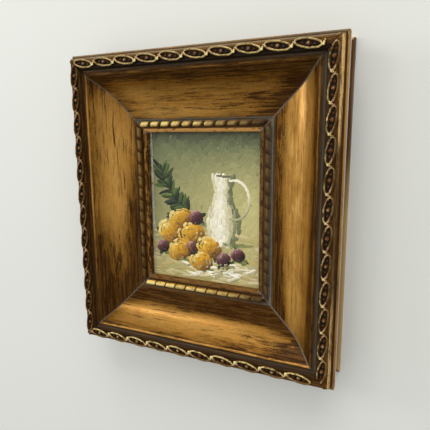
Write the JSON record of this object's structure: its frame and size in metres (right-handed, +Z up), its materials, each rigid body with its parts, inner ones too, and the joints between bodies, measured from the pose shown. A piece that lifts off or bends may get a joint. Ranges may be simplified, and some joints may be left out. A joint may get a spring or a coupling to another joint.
{
  "type": "framed oil painting",
  "caption": "Small oil painting on board in a deep scooped gilt frame with mitred rails, an outer chain of pointed ovals and a reeded sight edge, made to hang on a wall.",
  "frame": {"origin": "on the flat back of the top rail, midway along it, where the frame lies against the wall", "axes": "+Y into the wall, so the picture faces -Y; +X to the picture's right as seen from the front; +Z up"},
  "size_m": [0.216, 0.0369, 0.239],
  "materials": {
    "gilt_wood": "bronze-gold paint over wood, antiqued with dark umber",
    "oil_on_board": "oil paint with visible brush strokes"
  },
  "bodies": {
    "root": {"top_rail": "gilt_wood", "bottom_rail": "gilt_wood", "left_rail": "gilt_wood", "right_rail": "gilt_wood", "painted_board": "oil_on_board"}
  },
  "joints": []
}
